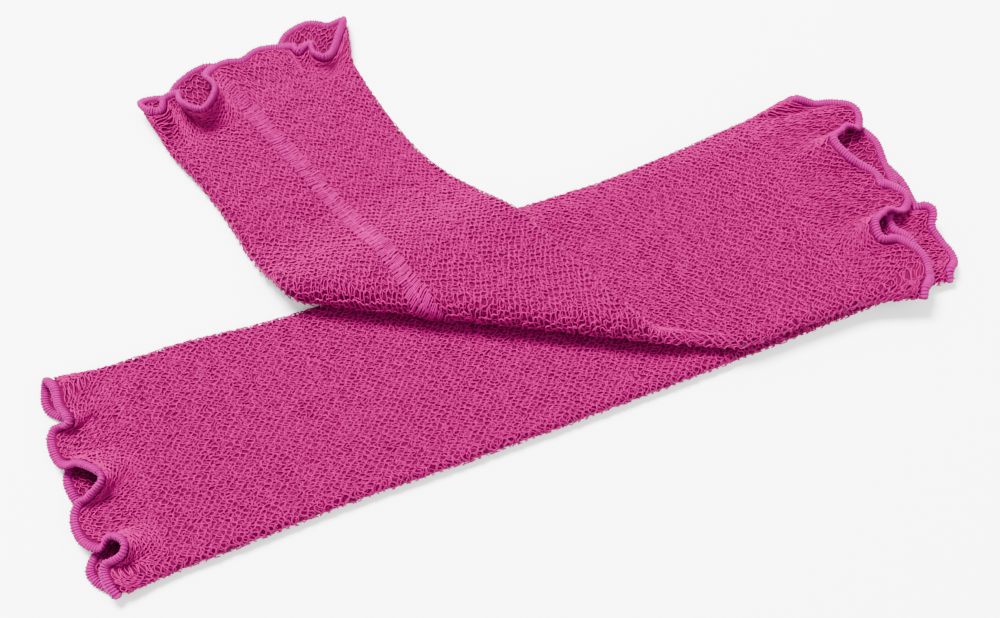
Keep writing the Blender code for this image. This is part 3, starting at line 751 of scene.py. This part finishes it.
def threads(centres, ups, radius, keep, sides):
    """Tubes along rows of points. centres and ups are (rows, points, 3), keep is (rows, points)."""
    along = unit(np.gradient(centres, axis=1))
    side = unit(np.cross(along, ups))
    up = np.cross(side, along)
    rings = []
    for k in range(sides):
        angle = 2 * np.pi * k / sides + np.pi / 2
        rings.append(centres + radius * (side * np.cos(angle) + up * np.sin(angle)))
    points = np.stack(rings, axis=2)
    row, start = np.nonzero(keep[:, :-1] & keep[:, 1:])
    base = (row * keep.shape[1] + start) * sides
    faces = []
    for k in range(sides):
        j = (k + 1) % sides
        faces.append(np.stack([base + k, base + j, base + sides + j, base + sides + k], -1))
    faces = np.stack(faces, axis=1).reshape(-1, 4)
    points = points.reshape(-1, 3)
    used = np.zeros(len(points), bool)
    used[faces.ravel()] = True
    number = np.cumsum(used) - 1
    return points[used], number[faces]


def on_strip(strip, plan, side):
    """Whether plan lies on a flat tube, further than COVERED inside its edges."""
    found = np.zeros(plan.shape[:-1], bool)
    for first, last in zip(strip.rows[:-1], strip.rows[1:]):
        along = unit(last[:2] - first[:2])
        square = np.array([-along[1], along[0]]) * side
        offset = plan - first[:2]
        share = offset @ along / np.linalg.norm(last[:2] - first[:2])
        reach = first[2:] + share[..., None] * (last[2:] - first[2:]) - COVERED
        across = offset @ square
        inside = (across < reach[..., 0]) & (-across < reach[..., 1])
        found |= (share > 0) & (share < 1) & inside
    return found


def hidden(points, folded):
    """Whether cloth at points lies under the right arm of the folded warmer or its upper arm."""
    plan = points[..., :2]
    along, away = folded.from_fold(plan)
    over = points[..., 2] - folded.right_arm_height(plan)
    turned = 2 * folded.roll - np.pi * FOLD_RADIUS - away
    back = (
        np.array(FOLD_START)
        + along[..., None] * folded.fold_way
        + turned[..., None] * folded.fold_square
    )
    below_right = (away > COVERED) & on_strip(folded.strip, plan, folded.far_side)
    below_upper = below_right & on_strip(folded.strip, back, folded.far_side)
    return (below_right & (over < -HALF)) | (below_upper & (over < TUBE))


def knit_net(warmer, around, courses, wales, net, rng, inward):
    """Rows of loops, one for each u in courses: the yarn's middle, and the way out of the wall."""
    shift_along, shift_round, height, _, points = net
    rows = len(courses)
    t = np.arange(wales * points + 1) / points
    whole = np.floor(t).astype(int)
    ease = eased(t - whole, 0, 1)
    chance = rng.normal(size=(5, rows, wales + 2))  # the last of the five is spare
    uneven = chance[:, :, whole] * (1 - ease) + chance[:, :, whole + 1] * ease
    angle = 2 * np.pi * (t + shift_round + np.arange(rows)[:, None] / 2)
    round_it = t + LOOP_SWAY * np.sin(2 * angle) + LOOP_JITTER * uneven[0]
    step = np.gradient(courses)[:, None] / COURSE
    reach = LOOP_REACH * np.cos(angle) * (1 + REACH_JITTER * uneven[1]) + REACH_JITTER * uneven[2]
    u = courses[:, None] + step * (shift_along * COURSE + reach)
    u = np.clip(u, -RUFFLE * CUT, warmer.strip.length + RUFFLE * CUT)
    p = around.p(round_it / wales, u)
    way = warmer.normal(p, u) * (-1 if inward else 1)
    lift = height + LOOP_DEPTH * np.cos(2 * angle) + LIFT_JITTER * uneven[3]
    return warmer.wall(p, u) + way * lift[..., None], way


def cloth(name, colour, dark, scale, roughness=0.7):
    """Matte yarn whose tone wanders between its colour and the share dark of it."""
    material = bpy.data.materials.new(name)
    material.use_nodes = True
    tree = material.node_tree
    shader = tree.nodes["Principled BSDF"]
    noise = tree.nodes.new("ShaderNodeTexNoise")
    noise.inputs["Scale"].default_value = scale
    noise.inputs["Detail"].default_value = 3
    place = tree.nodes.new("ShaderNodeTexCoord")
    mix = tree.nodes.new("ShaderNodeMix")
    mix.data_type = "RGBA"
    mix.inputs["A"].default_value = (*[c * dark for c in colour], 1)
    mix.inputs["B"].default_value = (*colour, 1)
    tree.links.new(place.outputs["Object"], noise.inputs["Vector"])
    tree.links.new(noise.outputs["Fac"], mix.inputs["Factor"])
    tree.links.new(mix.outputs["Result"], shader.inputs["Base Color"])
    shader.inputs["Roughness"].default_value = roughness
    shader.inputs["Specular IOR Level"].default_value = SHINE
    shader.inputs["Specular Tint"].default_value = (*GLEAM, 1)
    return material


def hem_line(warmer, last):
    """The length of a hem, and a function that gives evenly spaced places along it: their
    middle, the way out of the wall and the way square to it."""
    fine = np.linspace(0, 4, FINE)
    edge_u = warmer.strip.length + RUFFLE * CUT if last else -RUFFLE * CUT

    def at(p):
        u = np.full_like(p, edge_u)
        end, square = warmer.wall(p, u), warmer.normal(p, u)
        along = warmer.wall(p + P_STEP, u) - warmer.wall(p - P_STEP, u)
        way = unit(np.cross(square, along)) * (warmer.outside if last else -warmer.outside)
        return end + way * HEM_INSET, way, square

    middle, _, _ = at(fine)
    steps = np.concatenate([[0], np.cumsum(np.linalg.norm(np.diff(middle, axis=0), axis=1))])

    def spaced(count):
        return at(np.interp(np.arange(count + 1) / count * steps[-1], steps, fine))

    return steps[-1], spaced


def hem_threads(warmer, last, name, material, rng):
    """Thread wound closely round a hem."""
    length, spaced = hem_line(warmer, last)
    middle, way, square = spaced(round(length / WRAP_PITCH) * WRAP_POINTS)
    count = len(middle)
    place = np.arange(count)
    knots = np.arange(0, count, WRAP_POINTS)
    loose, wide = (np.interp(place, knots, rng.normal(size=len(knots))) for _ in range(2))
    turn = 2 * np.pi * place / WRAP_POINTS + TURN_JITTER * loose
    out, up = (way * np.cos(turn)[:, None], square * np.sin(turn)[:, None])
    share = (1 + WRAP_JITTER * wide)[:, None]
    reach, rise = HEM_WIDTH / 2 - WRAP_INSET[0], HEM_THICK / 2 - WRAP_INSET[1]
    centre = middle + out * (reach * share) + up * (rise * share)
    whole = np.ones((1, count), bool)
    points, faces = threads(centre[None], (out + up)[None], WRAP_YARN, whole, 4)
    return mesh_object(name, points, faces, material)


def hem_roll(warmer, last, name, material):
    """The smooth roll inside a hem's thread, darker than the thread as painted shade between its
    turns.
    """
    _, spaced = hem_line(warmer, last)
    middle, way, square = (row[:-1] for row in spaced(ROLL_RINGS))
    reach, rise = HEM_WIDTH / 2 - ROLL_INSET[0], HEM_THICK / 2 - ROLL_INSET[1]
    rings = []
    for angle in np.arange(ROLL_SIDES) * 2 * np.pi / ROLL_SIDES:
        rings.append(middle + way * np.cos(angle) * reach + square * np.sin(angle) * rise)
    points = np.stack(rings, axis=1).reshape(-1, 3)
    return mesh_object(name, points, ring_faces(ROLL_RINGS, ROLL_SIDES), material)


def solid_corner(warmer):
    """Lowest x and y of the straight warmer's solid, in the tables' own frame."""
    low = np.full(3, np.inf)
    for last in (0, 1):
        p = warmer.hems[last].columns
        for share in RUFFLE_RINGS:
            u = np.full_like(p, warmer.strip.length + RUFFLE * share if last else -RUFFLE * share)
            wall, way = warmer.wall(p, u), warmer.normal(p, u) * warmer.half_wall(u)
            low = np.minimum(low, np.minimum((wall + way).min(0), (wall - way).min(0)))
    return low


def yarn(warmer, around, rng):
    """Every net of the knit, as (points, faces): outside all along, inside the ruffles too."""
    length = warmer.strip.length
    rim = RUFFLE * CUT
    first = -rim + (np.arange(RUFFLE_COURSES) + 0.5) * rim / RUFFLE_COURSES
    last = length - first[::-1]
    body = np.arange(0.5 * COURSE, length, COURSE)
    wales = round(round_share(4.0, warmer.strip.rows[:, 2:].mean() - HALF) / WALE)
    full = round(wales * RUFFLE_FULLNESS)
    zones = (
        (body, wales, False),
        (first, full, False),
        (last, full, False),
        (first, full, True),
        (last, full, True),
    )
    found = []
    for net in NETS:
        for courses, loops, inward in zones:
            if inward and net is not NETS[-1]:  # the top net alone lies inside
                continue
            centre, way = knit_net(warmer, around, courses, loops, net, rng, inward)
            shown = (way[..., 2] > YARN_FACING) & ~hidden(centre, folded)
            found.append(threads(centre, way, net[3], shown, YARN_SIDES))
    return found


def build_warmer(warmer, label, hem_nodes, rng):
    """All of one warmer but its seam: the wall, and the rest."""
    around = Round(warmer)
    tube_node = f"{label}_tube"
    heart = core(warmer, around, f"{label}_cloth", CORE_SHADE_LOOK)
    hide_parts(tube_node)
    pieces = []
    for points, faces in yarn(warmer, around, rng):
        for start in range(0, len(faces), MOST_FACES):
            some = faces[start : start + MOST_FACES]
            used, index = np.unique(some, return_inverse=True)
            name = f"{label}_yarn_{len(pieces) + 1}"
            piece = mesh_object(name, points[used], index.reshape(some.shape), YARN_LOOK)
            pieces.append(piece)
    for last, node in enumerate(hem_nodes):
        wraps = hem_threads(warmer, last, f"{node}_threads", WRAP_LOOK, rng)
        inner = hem_roll(warmer, last, f"{node}_roll", ROLL_SHADE_LOOK)
        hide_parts(node)
        for piece in (wraps, inner):
            pieces.append(piece)
    return heart, pieces


def seam_threads(warmer, rng):
    """Two columns of close cross stitches down the layer that the fold turns up."""
    flat = warmer.strip.rows[-1, 2] - HALF
    middle_p = 3.5 + SEAM_ACROSS / (2 * flat)
    half_p = SEAM_WIDTH / (4 * flat)
    across = np.linspace(-STITCH_REACH, STITCH_REACH, STITCH_POINTS)
    crown = SEAM_CROWN[0] * (1 - SEAM_CROWN[1] * across**2)
    stop = warmer.strip.length + SEAM_PAST
    found = []
    for column in (-1, 1):
        start = np.arange(SEAM_FROM + column * SEAM_PITCH / 4, stop, SEAM_PITCH)[:, None]
        wander = rng.normal(size=(4, len(start), 1))
        wide, along, high, aside = (j * w for j, w in zip(STITCH_JITTER, wander))
        p = middle_p + half_p * (column * STITCH_COLUMN + across * (1 + wide) + aside)
        u = start + SEAM_SLANT * column * across + along
        way = warmer.normal(p, u)
        lift = WALL / 2 + SEAM_LIFT + crown + high
        centre = warmer.wall(p, u) + way * lift[..., None]
        found.append(threads(centre, way, SEAM_YARN, np.ones(p.shape, bool), 4))
    return found


def place_camera():
    camera = bpy.data.objects.new("camera", bpy.data.cameras.new("camera"))
    bpy.context.scene.collection.objects.link(camera)
    camera.data.lens = LENS
    camera.data.sensor_width = SENSOR
    camera.location = SHIFT / 1000 + np.array(CAMERA_PLACE)
    camera.rotation_euler = (math.radians(CAMERA_TILT), 0, 0)
    bpy.context.scene.camera = camera


def area_light(name, place, size, energy):
    """A round lamp that faces the origin."""
    light = bpy.data.objects.new(name, bpy.data.lights.new(name, "AREA"))
    light.data.shape = "DISK"
    light.data.size = size
    light.data.energy = energy
    light.location = place
    light.rotation_euler = (-Vector(place)).to_track_quat("-Z", "Y").to_euler()
    bpy.context.scene.collection.objects.link(light)


straight, folded = StraightWarmer(), FoldedWarmer()
low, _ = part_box("straight_warmer_tube")
SHIFT = np.array(low) * 1000 - solid_corner(straight)
SHIFT[2] = 0
rng = np.random.default_rng(SEED)
# the knit's wall is painted shade, seen through the holes between the loops
CORE_SHADE_LOOK = cloth("knit_shade", CORE_SHADE_COLOUR, dark=0.8, scale=60, roughness=0.9)
YARN_LOOK = cloth("knit_yarn", YARN_COLOUR, dark=0.72, scale=260)
WRAP_LOOK = cloth("hem_thread", WRAP_COLOUR, dark=0.8, scale=200)
# painted shade: the roll is darker than the thread wound over it, for the shade between the turns
ROLL_SHADE_LOOK = cloth("hem_shade", WRAP_COLOUR, dark=0.6, scale=60, roughness=0.9)
SEAM_LOOK = cloth("seam_thread", SEAM_THREAD_COLOUR, dark=0.85, scale=260)

first_hems = ("straight_warmer_left_hem", "straight_warmer_right_hem")
second_hems = ("folded_warmer_right_hem", "folded_warmer_upper_hem")
first_cloth, first_pieces = build_warmer(straight, "straight_warmer", first_hems, rng)
second_cloth, second_pieces = build_warmer(folded, "folded_warmer", second_hems, rng)
for number, (points, faces) in enumerate(seam_threads(folded, rng)):
    seam = mesh_object(f"folded_warmer_seam_threads_{number + 1}", points, faces, SEAM_LOOK)
    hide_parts("folded_warmer_seam_band")
    second_pieces.append(seam)

floor_mesh = bpy.data.meshes.new("floor")
corners = [(FLOOR_HALF * x, FLOOR_HALF * y, 0) for x, y in ((-1, -1), (1, -1), (1, 1), (-1, 1))]
floor_mesh.from_pydata(corners, [], [(0, 1, 2, 3)])
floor = bpy.data.objects.new("floor", floor_mesh)
bpy.context.scene.collection.objects.link(floor)
floor.location.z = FLOOR_TOP
paper = bpy.data.materials.new("paper")
paper.use_nodes = True
paper_shader = paper.node_tree.nodes["Principled BSDF"]
paper_shader.inputs["Base Color"].default_value = (*FLOOR_COLOUR, 1)
paper_shader.inputs["Roughness"].default_value = 0.9
floor_mesh.materials.append(paper)

world = bpy.data.worlds.new("studio")
world.use_nodes = True
sky = world.node_tree.nodes["Background"]
sky.inputs["Color"].default_value = (1, 1, 1, 1)
sky.inputs["Strength"].default_value = SKY
bpy.context.scene.world = world
for light in LIGHTS:
    area_light(*light)
place_camera()
